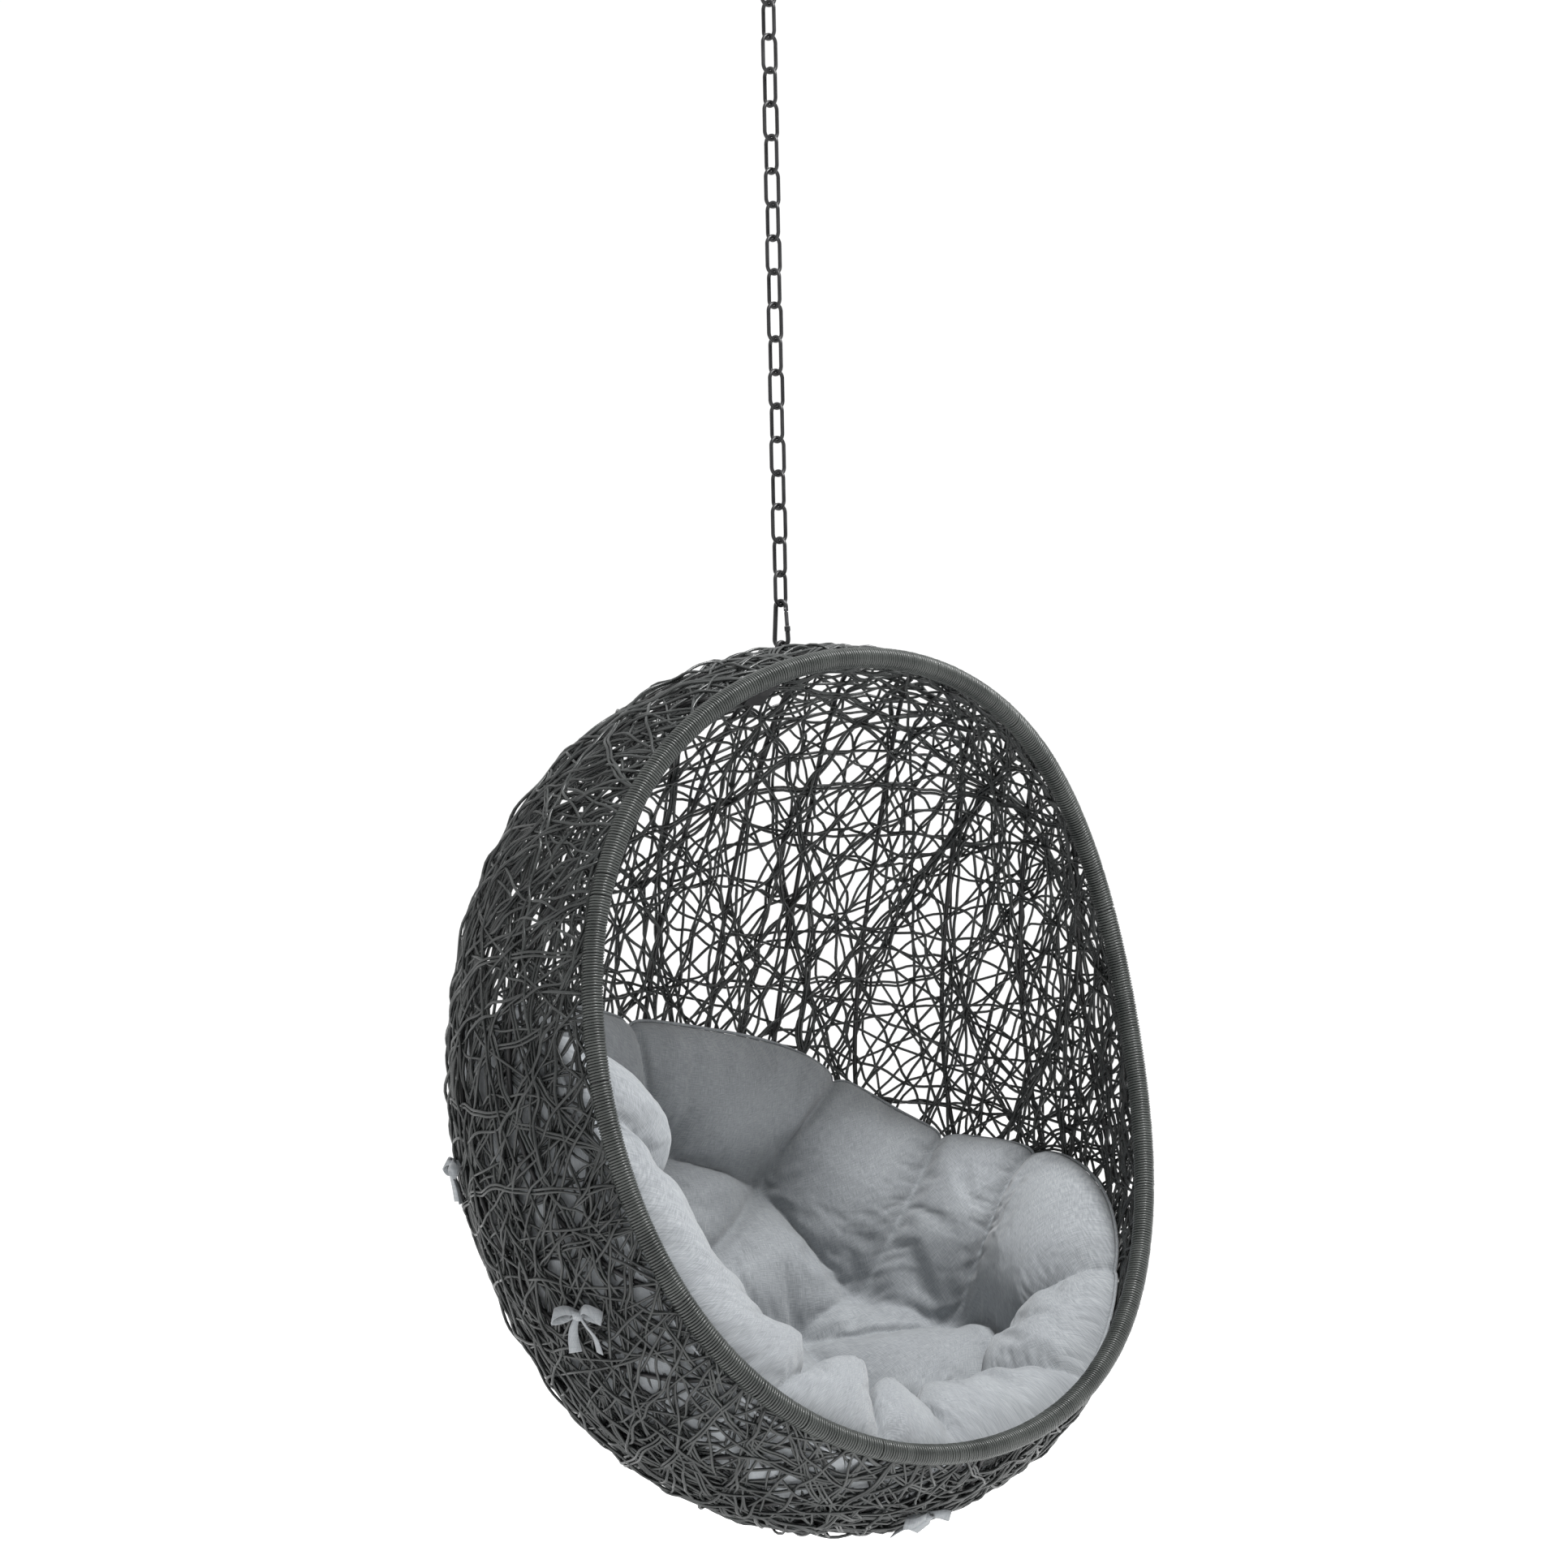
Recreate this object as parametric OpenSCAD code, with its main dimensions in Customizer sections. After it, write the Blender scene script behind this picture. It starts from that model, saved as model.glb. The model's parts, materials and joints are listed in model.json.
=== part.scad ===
// Hanging egg chair: an open-fronted wicker basket with a tufted cushion, hung by a chain
// and two snap hooks from a ceiling swivel. Millimetres, +Z up, opening towards -Y.
// The origin is the centre of the ceiling plate's top face, on the line of the chain.

/* [Basket opening] */
// Width of the opening, between the rim's centrelines
rim_w = 890; // [840:5:940]
// Height of the opening, between the rim's centrelines
rim_h = 990; // [940:5:1040]
// Backward lean of the rim, as rise over run
rim_lean = 0.20; // [0.15:0.01:0.25]
// Depth by which the sides of the rim bow back from its top and bottom
rim_bow = 70; // [50:5:90]
// Extra width that squares the rim's shoulders
rim_fullness = 0.13; // [0.05:0.01:0.2]
// Diameter of the steel rim tube
rim_tube_d = 22; // [20:0.5:24]
// Wall of the steel rim tube
rim_tube_wall = 2; // [1.5:0.1:2.5]
// Thickness of the cane wound round the rim tube
rim_wrap_t = 2.5; // [2:0.1:3]

/* [Basket shell] */
// Depth of the shell behind the opening
shell_depth = 550; // [520:5:580]
// Bulge of the shell behind the rim, as a share of the opening
shell_bulge = 0.18; // [0.14:0.01:0.22]
// Droop of the shell's deepest point
shell_droop = 50; // [40:5:60]
// Downward pitch of the shell's axis in degrees
shell_pitch = 13; // [10:1:16]
// Diameter of the ribs
rib_d = 6.4; // [5.5:0.1:7]
// Thickness of each layer of wicker
wicker_t = 1.6; // [1.4:0.1:2.4]

/* [Hanging eye] */
// Place of the eye along the crown, from the rim (0) to the back (1)
eye_place = 0.30; // [0.26:0.01:0.34]
// Wire diameter of the eye
eye_wire = 5.5; // [5:0.1:6]
// Height of the eye's top over the shell
eye_rise = 28; // [26:1:34]

/* [Chain] */
// Number of links
link_count = 19; // [19:1:19]
// Wire diameter of a link
link_wire = 5; // [4.5:0.1:5.2]
// Inner length of a link
link_inner = 43.5; // [40:0.5:46]
// Outer width of a link
link_w = 26; // [25:0.5:28]
// Inner length of the short end link
end_link_inner = 38.5; // [36:0.5:42]
// Twist of the end link about the chain in degrees
end_link_twist = 12; // [0:1:15]

/* [Snap hooks] */
// Wire diameter of a hook
hook_wire = 6; // [5.8:0.1:6.2]
// Overall length of a hook
hook_len = 65; // [63:1:70]
// Twist of the lower hook about the chain in degrees
hook_twist = 25; // [0:1:28]

/* [Ceiling swivel] */
// Side of the square ceiling plate
plate_w = 100; // [95:1:120]
// Thickness of the ceiling plate
plate_t = 5; // [4:0.5:6]
// Spacing of the ceiling plate's screw holes
plate_hole_pitch = 76; // [74:1:78]
// Diameter of the ceiling plate's screw holes
plate_hole_d = 7; // [6:0.5:8]
// Outer diameter of the swivel housing
housing_d = 46; // [45:1:50]

/* [Cushion] */
// Thickness of the cushion at its middle
cushion_t = 100; // [85:1:115]
// Slide of the cushion towards -X round the bowl in degrees
cushion_askew = 12; // [0:1:14]
// Extra thickness on the cushion's +X side, as a share
cushion_heap = 0.12; // [0:0.01:0.5]
// Extra thickness towards the cushion's front edge, as a share
cushion_front_heap = 0.46; // [0:0.01:0.6]
// Depth of the soft fill over its dense core
core_depth = 34; // [28:1:36]

/* [Hidden] */
link_names = [for (i = [1:link_count]) str("chain_link_", i < 10 ? "0" : "", i)];
rib_count = 13;
rib_names = [for (i = [1:rib_count]) str("rib_", i < 10 ? "0" : "", i)];

charcoal = "#3b3d3c";
black_metal = "#1d1d1e";
steel = "#9a9c9e";
pale_grey = "#9ba0a4";

// Swivel, from the plate down
housing_h = 30;
housing_wall = 5;
housing_floor = 4;
stem_r = 6;
stem_bore_r = 6.1;
race_t = 3;
ball_r = 2.5;
ball_count = 12;
ball_ring_r = 12;
race_r = 17.5;
bearing_gap = 0.3;
nut_h = 8;
housing_bottom = -plate_t - housing_h;
race_z = housing_bottom + housing_floor;
ball_z = race_z + race_t + ball_r + 0.05;
upper_race_z = ball_z + ball_r + bearing_gap;
nut_z = upper_race_z + race_t;
ring_wire_r = 3.5;
ring_r = 12.5;
ring_z = housing_bottom - 27;

// Heights down the chain, each at the centre of a wire
hang_gap = 0.2;
hook_r = hook_wire / 2;
narrow_r = 7;
wide_r = 9.5;
hook_span = hook_len - hook_wire;
hook_d = hook_span - narrow_r - wide_r;
hook_slope = asin((wide_r - narrow_r) / hook_d);
leg_len = hook_d * cos(hook_slope);
upper_hook_top = ring_z - ring_r + ring_wire_r + hang_gap + hook_r;
upper_hook_bottom = upper_hook_top - hook_span;
first_link_top = upper_hook_bottom + hook_r + hang_gap + link_wire / 2;
link_pitch = link_inner - hang_gap;
end_link_top = first_link_top - (link_count - 1) * link_pitch;
end_link_bottom = end_link_top - end_link_inner - link_wire;
lower_hook_top = end_link_bottom + link_wire / 2 + hang_gap + hook_r;
lower_hook_bottom = lower_hook_top - hook_span;
eye_top = lower_hook_bottom + hook_r + hang_gap + eye_wire / 2;
lower_hook_turn = hook_twist - 90;

// Gate of a snap hook, measured down its leg from the hinge end
pin_s = 3;
pin_r = 0.9;
ear_s = 6.5;
gate_s = 7.8;
nose_s = 26;
nose_h = 6;

// Offsets of the basket's layers from the ribs' surface, positive outwards
outer_off = rib_d / 2 + 3.6;
inner_off = -rib_d / 2 - 2.2;
lining = inner_off - wicker_t;
strap_off = lining - 3.5;
cushion_off = lining - 4;
strap_t = 5;
strap_w = 30;
wall_start = 0.0245;
rim_r = rim_tube_d / 2;
wrap_r = rim_r + 0.15 + rim_wrap_t;
eye_leg_x = 8;

function unit(v) = v / norm(v);

// A point of the rim's centreline at angle t, in the basket's frame: origin at the rim's centre
function rim_pt(t) =
    let (c = cos(t), s = sin(t))
    [rim_w / 2 * c * (1 + rim_fullness * s * s),
     rim_lean * rim_h / 2 * s - rim_bow * (s * s - 0.5) - 20 * pow(s, 3),
     rim_h / 2 * s];

// A point of the shell at angle t round the rim and depth w, from the rim (0) to the back (1)
shell_fullness = 2.1;
shell_axis = [0, cos(shell_pitch), -sin(shell_pitch)];
shell_up = [0, sin(shell_pitch), cos(shell_pitch)];
function shell_pt(t, w) =
    let (ring = sqrt(max(1 - pow(w, shell_fullness), 0)) * (1 + shell_bulge * sin(180 * w)))
    ring * rim_pt(t) + shell_depth * w * shell_axis - shell_droop * w * shell_up;

pole_normal = unit([0, 1, -rim_lean]);
function shell_normal(t, w) =
    w > 0.985 ? pole_normal :
    let (
        across = shell_pt(t + 0.5, w) - shell_pt(t - 0.5, w),
        along = shell_pt(t, w + 0.004) - shell_pt(t, max(w - 0.004, 0))
    )
    unit(cross(along, across));
function wall_pt(t, w, off) = shell_pt(t, w) + off * shell_normal(t, w);

// The same, for a direction u on the unit half-sphere behind the opening
function dir_pt(u, off) = wall_pt(atan2(u.z, u.x), u.y, off);
function dir_normal(u) = shell_normal(atan2(u.z, u.x), u.y);

eye_pt = shell_pt(90, eye_place);
eye_normal = shell_normal(90, eye_place);
basket_z = eye_top - eye_rise - eye_pt.z;
module in_basket() {
    translate([0, -eye_pt.y, basket_z]) children();
}

// Solids made of rings of points: triangles between rings, then caps, a loop or two tips
function band(a, b, n) = [
    for (i = [0:n - 1])
    let (j = (i + 1) % n)
    each [[a + i, b + j, a + j], [a + i, b + i, b + j]]
];
function all_bands(m, n) = [for (k = [0:m - 2]) each band(k * n, (k + 1) * n, n)];
module loft(rings) {
    n = len(rings[0]);
    m = len(rings);
    first_cap = [for (i = [0:n - 1]) i];
    last_cap = [for (i = [0:n - 1]) m * n - 1 - i];
    polyhedron([for (r = rings) each r], concat(all_bands(m, n), [first_cap, last_cap]), 8);
}
module loft_loop(rings) {
    n = len(rings[0]);
    m = len(rings);
    polyhedron([for (r = rings) each r], concat(all_bands(m, n), band((m - 1) * n, 0, n)), 8);
}
module loft_tips(rings, first, last) {
    n = len(rings[0]);
    m = len(rings);
    fan_a = [for (i = [0:n - 1]) [m * n, i, (i + 1) % n]];
    fan_b = [for (i = [0:n - 1]) [m * n + 1, (m - 1) * n + (i + 1) % n, (m - 1) * n + i]];
    points = concat([for (r = rings) each r], [first, last]);
    polyhedron(points, concat(all_bands(m, n), fan_a, fan_b), 8);
}

// Rings of n points and radius r, square to a path; each turns to face the basket's middle
basket_middle = [0, 150, 0];
function path_ring(path, k, r, n) =
    let (
        last = len(path) - 1,
        run = unit(path[min(k + 1, last)] - path[max(k - 1, 0)]),
        out = path[k] - basket_middle,
        side = unit(out - (out * run) * run),
        up = cross(run, side)
    )
    [for (i = [0:n - 1]) path[k] + r * (cos(360 * i / n) * side + sin(360 * i / n) * up)];
function path_rings(path, r, n) = [for (k = [0:len(path) - 1]) path_ring(path, k, r, n)];

function reversed(list) = [for (i = [len(list) - 1:-1:0]) list[i]];

// The rim's path runs once round, from one side of the butt joint at the bottom to the other
rim_steps = 80;
joint_gap = 0.08;
rim_path = [
    for (k = [0:rim_steps])
    rim_pt(-90 + joint_gap + (360 - 2 * joint_gap) * k / rim_steps)
];
module tube_on_rim(outer, inner) {
    loft_loop(concat(path_rings(rim_path, outer, 10), reversed(path_rings(rim_path, inner, 10))));
}

module rim_tube() {
    color(black_metal) in_basket() tube_on_rim(rim_r, rim_r - rim_tube_wall);
}

// Short sleeve that joins the tube's two ends
module rim_spigot() {
    color(steel)
    in_basket()
    translate(rim_pt(-90))
    rotate([0, 90, 0])
    difference() {
        cylinder(h = 56, r = rim_r - rim_tube_wall - 1.5, center = true, $fn = 32);
        cylinder(h = 60, r = rim_r - rim_tube_wall - 3, center = true, $fn = 32);
    }
}

module rim_wrap() {
    color(charcoal) in_basket() tube_on_rim(wrap_r, rim_r + 0.15);
}

// Ribs run from the top of the rim over the back to the bottom, in upright planes
function rib_path(k) =
    let (
        lon = (k - (rib_count + 1) / 2) * 180 / (rib_count + 1),
        x_top = 0.9 * pow(sin(lon), 3),
        slant = (sin(lon) - x_top) / cos(lon),
        q = sqrt(1 + slant * slant),
        d = x_top / q,
        radius = sqrt(1 - d * d),
        span = acos((wall_start * q + d * slant) / radius),
        steps = 29
    )
    [
        for (i = [0:steps])
        let (
            a = span * (2 * i / steps - 1),
            u = [d + radius * cos(a) * slant, radius * cos(a) - d * slant, q * radius * sin(a)] / q
        )
        dir_pt(u, 0)
    ];
module rib(k) {
    color(black_metal) in_basket() loft(path_rings(rib_path(k), rib_d / 2, 6));
}

// A layer of wicker between two offsets, closed at the back and open at the front
shell_steps = 54;
shell_rows = 13;
function shell_ring(row, off) =
    let (w = sin(asin(wall_start) + (90 - asin(wall_start)) * row / shell_rows))
    [for (i = [0:shell_steps - 1]) wall_pt(360 * i / shell_steps, w, off)];
function shell_rings(off) = [for (row = [0:shell_rows - 1]) shell_ring(row, off)];
module wicker_layer(off) {
    loft_tips(
        concat(reversed(shell_rings(off + wicker_t)), shell_rings(off)),
        shell_pt(0, 1) + (off + wicker_t) * pole_normal,
        shell_pt(0, 1) + off * pole_normal
    );
}
module eye_leg_holes(r) {
    for (side = [-1, 1])
        translate([side * eye_leg_x, eye_pt.y, eye_pt.z]) cylinder(h = 60, r = r, center = true, $fn = 24);
}
module wicker_outer() {
    color(charcoal)
    in_basket()
    difference() {
        wicker_layer(outer_off);
        eye_leg_holes(3.4);
    }
}
module wicker_inner() {
    color(charcoal)
    in_basket()
    difference() {
        wicker_layer(inner_off - wicker_t);
        eye_leg_holes(3.4);
    }
}

// Flat strap under the crown that carries the eye
function strap_edge(off) = [
    for (k = [0:12])
    let (p = wall_pt(90, 0.02 + 0.42 * k / 12, off))
    [p.y, p.z]
];
module hanger_strap() {
    color(black_metal)
    in_basket()
    difference() {
        rotate([90, 0, 90])
        linear_extrude(strap_w, center = true)
        polygon(concat(strap_edge(strap_off), reversed(strap_edge(strap_off - strap_t))));
        eye_leg_holes(eye_wire / 2 + 0.05);
    }
}
module hanging_eye() {
    leg_foot = eye_pt.z + (strap_off - strap_t) / eye_normal.z;
    bow_z = eye_pt.z + eye_rise - eye_leg_x;
    color(black_metal)
    in_basket()
    translate([0, eye_pt.y, 0]) {
        translate([0, 0, bow_z]) bow(eye_leg_x, eye_wire / 2, 0, 180);
        for (side = [-1, 1])
            translate([side * eye_leg_x, 0, leg_foot])
            cylinder(h = bow_z - leg_foot, r = eye_wire / 2, $fn = 32);
    }
}

// A bent length of round wire in the XZ plane, from angle a over a sweep
module bow(r, wire_r, a, sweep) {
    rotate([90, 0, 0])
    rotate([0, 0, a])
    rotate_extrude(angle = sweep, $fn = 48)
    translate([r, 0])
    circle(r = wire_r, $fn = 24);
}

// Ceiling plate, swivel housing and thrust bearing
module ceiling_plate() {
    corner = 10;
    half = plate_w / 2 - corner;
    color(black_metal)
    difference() {
        translate([0, 0, -plate_t])
        linear_extrude(plate_t) {
            square([plate_w, plate_w - 2 * corner], center = true);
            square([plate_w - 2 * corner, plate_w], center = true);
            for (x = [-half, half], y = [-half, half]) translate([x, y]) circle(r = corner, $fn = 32);
        }
        for (x = [-0.5, 0.5], y = [-0.5, 0.5])
            translate([x * plate_hole_pitch, y * plate_hole_pitch, -plate_t - 1])
            cylinder(h = plate_t + 2, d = plate_hole_d, $fn = 32);
    }
}
module swivel_housing() {
    color(black_metal)
    translate([0, 0, housing_bottom])
    difference() {
        cylinder(h = housing_h, d = housing_d, $fn = 64);
        translate([0, 0, housing_floor]) cylinder(h = housing_h, r = housing_d / 2 - housing_wall, $fn = 64);
        translate([0, 0, -1]) cylinder(h = housing_floor + 2, r = stem_bore_r, $fn = 64);
    }
}
module race(z, bore) {
    color(steel)
    translate([0, 0, z])
    difference() {
        cylinder(h = race_t, r = race_r, $fn = 64);
        translate([0, 0, -1]) cylinder(h = race_t + 2, r = bore, $fn = 64);
    }
}
module lower_race() {
    race(race_z, stem_r + 1);
}
module upper_race() {
    race(upper_race_z, stem_r + 0.05);
}
module bearing_balls() {
    color(steel)
    for (i = [0:ball_count - 1])
        rotate([0, 0, 360 * i / ball_count]) translate([ball_ring_r, 0, ball_z]) sphere(r = ball_r, $fn = 24);
}

// Stem that turns in the housing, with the ring that holds the upper hook
module swivel_stem() {
    top = nut_z + nut_h + 2;
    foot = ring_z + ring_r;
    color(black_metal) {
        translate([0, 0, foot]) cylinder(h = top - foot, r = stem_r, $fn = 48);
        translate([0, 0, ring_z])
        rotate([90, 0, 0])
        rotate_extrude($fn = 48)
        translate([ring_r, 0])
        circle(r = ring_wire_r, $fn = 24);
    }
}
module stem_nut() {
    color(steel)
    translate([0, 0, nut_z])
    difference() {
        cylinder(h = nut_h, r = 11, $fn = 6);
        translate([0, 0, -1]) cylinder(h = nut_h + 2, r = stem_r + 0.05, $fn = 48);
    }
}

// Long-link chain: odd links lie in the XZ plane and even ones in the YZ plane
module link(inner, top, turn) {
    r = (link_w - link_wire) / 2;
    leg = inner + link_wire - 2 * r;
    color(black_metal)
    translate([0, 0, top - r])
    rotate([0, 0, turn]) {
        bow(r, link_wire / 2, 0, 180);
        translate([0, 0, -leg]) bow(r, link_wire / 2, 180, 180);
        for (side = [-1, 1])
            translate([side * r, 0, -leg]) cylinder(h = leg, d = link_wire, $fn = 24);
    }
}
module chain_link(i) {
    turn = i % 2 == 1 ? 0 : 90;
    if (i < link_count)
        link(link_inner, first_link_top - (i - 1) * link_pitch, turn);
    else
        link(end_link_inner, end_link_top, turn + end_link_twist);
}

// Snap hook in the XZ plane, its narrow bow's centre at the origin, its gate on the +X side
module on_gate_leg(s) {
    translate([narrow_r * cos(hook_slope), 0, narrow_r * sin(hook_slope)])
    rotate([0, 180 - hook_slope, 0])
    translate([0, 0, s])
    children();
}
module across(r, length) {
    rotate([90, 0, 0]) cylinder(h = length, r = r, center = true, $fn = 24);
}
function arc(z, r, from, to, steps) = [
    for (i = [0:steps])
    let (a = from + (to - from) * i / steps)
    [r * cos(a), 0, z + r * sin(a)]
];
function gate_leg_pt(s) =
    let (c = cos(hook_slope), d = sin(hook_slope))
    [narrow_r * c + s * d, 0, narrow_r * d - s * c];
hook_path = concat(
    [gate_leg_pt(ear_s)],
    arc(0, narrow_r, hook_slope, 180 - hook_slope, 12),
    arc(-hook_d, wide_r, 180 - hook_slope, 360 + hook_slope, 16),
    [gate_leg_pt(nose_s)]
);
function hook_ring(k, n) =
    let (
        last = len(hook_path) - 1,
        run = unit(hook_path[min(k + 1, last)] - hook_path[max(k - 1, 0)]),
        side = cross([0, 1, 0], run)
    )
    [for (i = [0:n - 1]) hook_path[k] + hook_r * (cos(360 * i / n) * side + [0, sin(360 * i / n), 0])];
module hook_body() {
    color(black_metal)
    difference() {
        union() {
            loft([for (k = [0:len(hook_path) - 1]) hook_ring(k, 14)]);
            on_gate_leg(nose_s + 0.3) cylinder(h = nose_h, r = hook_r + 0.8, $fn = 32);
        }
        on_gate_leg(0.5) translate([-5, -1.7, 0]) cube([10, 3.4, 8]);
        on_gate_leg(pin_s) across(pin_r + 0.02, 8);
    }
}
module hook_gate() {
    color(black_metal)
    difference() {
        union() {
            on_gate_leg(gate_s) cylinder(h = nose_s - 0.4 - gate_s, r = 2.6, $fn = 32);
            on_gate_leg(pin_s) translate([0, -0.75, 0]) across(2.2, 1.6);
            on_gate_leg(pin_s) translate([-1.5, -1.55, 0]) cube([3, 1.6, gate_s + 1 - pin_s]);
        }
        on_gate_leg(pin_s) across(pin_r + 0.06, 8);
    }
}
module hook_pin() {
    color(steel) on_gate_leg(pin_s) across(pin_r, 5.6);
}
module hook_spring() {
    color(steel)
    on_gate_leg(pin_s)
    for (y = [0.55, 1.15])
        translate([0, y, 0]) bow(1.45, 0.28, 0, 360);
}

// The upper hook hangs wide end up from the swivel's ring, the lower one narrow end up
module at_upper_hook() {
    translate([0, 0, upper_hook_bottom + narrow_r]) rotate([0, 0, 90]) rotate([180, 0, 0]) children();
}
module at_lower_hook() {
    translate([0, 0, lower_hook_top - narrow_r]) rotate([0, 0, lower_hook_turn]) children();
}

// Cushion: a round pad laid in the bowl, in polar angles about the seat's middle
seat_back = 40;
front_margin = 0.06;
function askew(v) =
    let (c = cos(cushion_askew), s = sin(cushion_askew))
    [c * v.x + s * v.z, v.y, c * v.z - s * v.x];
seat_dir = askew([0, sin(seat_back), -cos(seat_back)]);
seat_right = askew([1, 0, 0]);
seat_up = askew([0, cos(seat_back), sin(seat_back)]);
// The edge dips at the right of the back
edge_dip = 7;
edge_dip_at = 38;
edge_dip_width = 20;
function pad_limit(a) =
    let (
        dip = edge_dip * exp(-pow((a - edge_dip_at) / edge_dip_width, 2)),
        free = 71 + 2 * cos(a) + 6 * sin(a) + 6 * cos(2 * a) - dip,
        ey = sin(a) * cos(seat_back),
        ay = sin(seat_back),
        rim = atan2(ey, ay) + acos(front_margin / sqrt(ay * ay + ey * ey))
    )
    pow(pow(free, -10) + pow(rim, -10), -0.1);
function pad_dir(share, a, inset) =
    let (theta = share * (pad_limit(a) - 0.13 * inset - 0.25 * min(inset, cover_t)))
    cos(theta) * seat_dir + sin(theta) * (cos(a) * seat_right + sin(a) * seat_up);
function pad_rise(share, u, inset) =
    let (heap = 1 + cushion_heap * u.x + cushion_front_heap * (0.5 - u.y))
    (cushion_t * heap - 2 * inset) * sqrt(1 - pow(share, 5));
function pad_pt(share, a, inset, top) =
    let (u = pad_dir(share, a, inset))
    dir_pt(u, cushion_off - inset - (top ? pad_rise(share, u, inset) : 0));

cover_t = 2;
pad_steps = 44;
pad_rows = 9;
pad_opening = 0.06;
function pad_ring(share, inset, top) = [
    for (i = [0:pad_steps - 1]) pad_pt(share, 360 * i / pad_steps, inset, top)
];
function pad_rings(first, inset, top) = [
    for (k = [0:pad_rows])
    let (share = first + (1 - first) * sin(90 * k / pad_rows))
    pad_ring(share, inset, top)
];
function pad_surface(hole, inset) = concat(
    pad_rings(hole, inset, false),
    [for (k = [pad_rows - 1:-1:1]) pad_ring(sin(90 * k / pad_rows), inset, true)]
);

// Fabric cover, with the opening that it is filled through in the middle of its underside
module cushion_cover() {
    color(pale_grey)
    in_basket()
    loft_tips(
        concat(reversed(pad_surface(pad_opening, cover_t)), pad_surface(pad_opening, 0)),
        pad_pt(0, 0, cover_t, true),
        pad_pt(0, 0, 0, true)
    );
}
module cushion_fill() {
    color("white")
    in_basket()
    difference() {
        loft_tips(
            pad_surface(0.02, core_depth),
            pad_pt(0, 0, core_depth, false),
            pad_pt(0, 0, core_depth, true)
        );
        tuft_threads(thread_r + 0.3);
    }
}

// Threads that draw the cushion down into tufts: [share of the way out, angle] of each
tuft_places = [[0.04, 90], [0.42, 20], [0.42, 88], [0.42, 160], [0.5, 212], [0.55, 270], [0.5, 328]];
thread_r = 1.2;
thread_margin = 5;
module tuft_threads(r) {
    for (p = tuft_places) {
        u = pad_dir(p[0], p[1], 0);
        n = dir_normal(u);
        rise = pad_rise(p[0], u, 0);
        translate(dir_pt(u, cushion_off - rise + thread_margin))
        rotate([0, acos(n.z), atan2(n.y, n.x)])
        cylinder(h = rise - 2 * thread_margin, r = r, $fn = 16);
    }
}
module cushion_tufts() {
    color(pale_grey) in_basket() tuft_threads(thread_r);
}

// Fabric ties that come out through the wicker and are knotted in bows
tie_dirs = [
    [-0.86, 0.51, -0.06], [-0.86, 0.21, -0.47], [0.03, 0.20, -0.98],
    [0.80, 0.55, -0.26], [0.62, 0.42, -0.66]
];
module bow_outline() {
    for (side = [-1, 1]) {
        rotate([0, 0, side * 100]) polygon([[-4, 0], [-13, 34], [0, 40], [13, 34], [4, 0]]);
        rotate([0, 0, side * 160]) polygon([[-4, 0], [-7, 52], [7, 52], [4, 0]]);
    }
    circle(r = 8, $fn = 24);
}
module cushion_ties() {
    color(pale_grey)
    in_basket()
    for (v = tie_dirs) {
        u = unit(v);
        n = dir_normal(u);
        translate(dir_pt(u, outer_off + wicker_t + 2.5))
        rotate([0, acos(n.z), atan2(n.y, n.x)])
        rotate([0, 0, n.x < 0 ? 90 : -90])
        linear_extrude(5)
        bow_outline();
    }
}

ceiling_plate();
swivel_housing();
lower_race();
bearing_balls();
upper_race();
swivel_stem();
stem_nut();
at_upper_hook() hook_body();  // upper_hook
at_upper_hook() hook_gate();  // upper_hook_gate
at_upper_hook() hook_pin();  // upper_hook_pin
at_upper_hook() hook_spring();  // upper_hook_spring
for (i = [1:link_count]) chain_link(i);
at_lower_hook() hook_body();  // lower_hook
at_lower_hook() hook_gate();  // lower_hook_gate
at_lower_hook() hook_pin();  // lower_hook_pin
at_lower_hook() hook_spring();  // lower_hook_spring
rim_tube();
rim_spigot();
rim_wrap();
hanger_strap();
hanging_eye();
for (i = [1:rib_count]) rib(i);
wicker_outer();
wicker_inner();
cushion_cover();
cushion_fill();
cushion_tufts();
cushion_ties();
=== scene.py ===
"""The hanging egg chair's looks: woven cane basket, wound rim, tufted cushion, ties and steel fittings.

Metres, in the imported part's frame: +Z up, the opening towards -Y, the origin on top of the ceiling plate.
"""

import json
import math

import bpy
import numpy as np
from mathutils import Matrix, Vector


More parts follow.
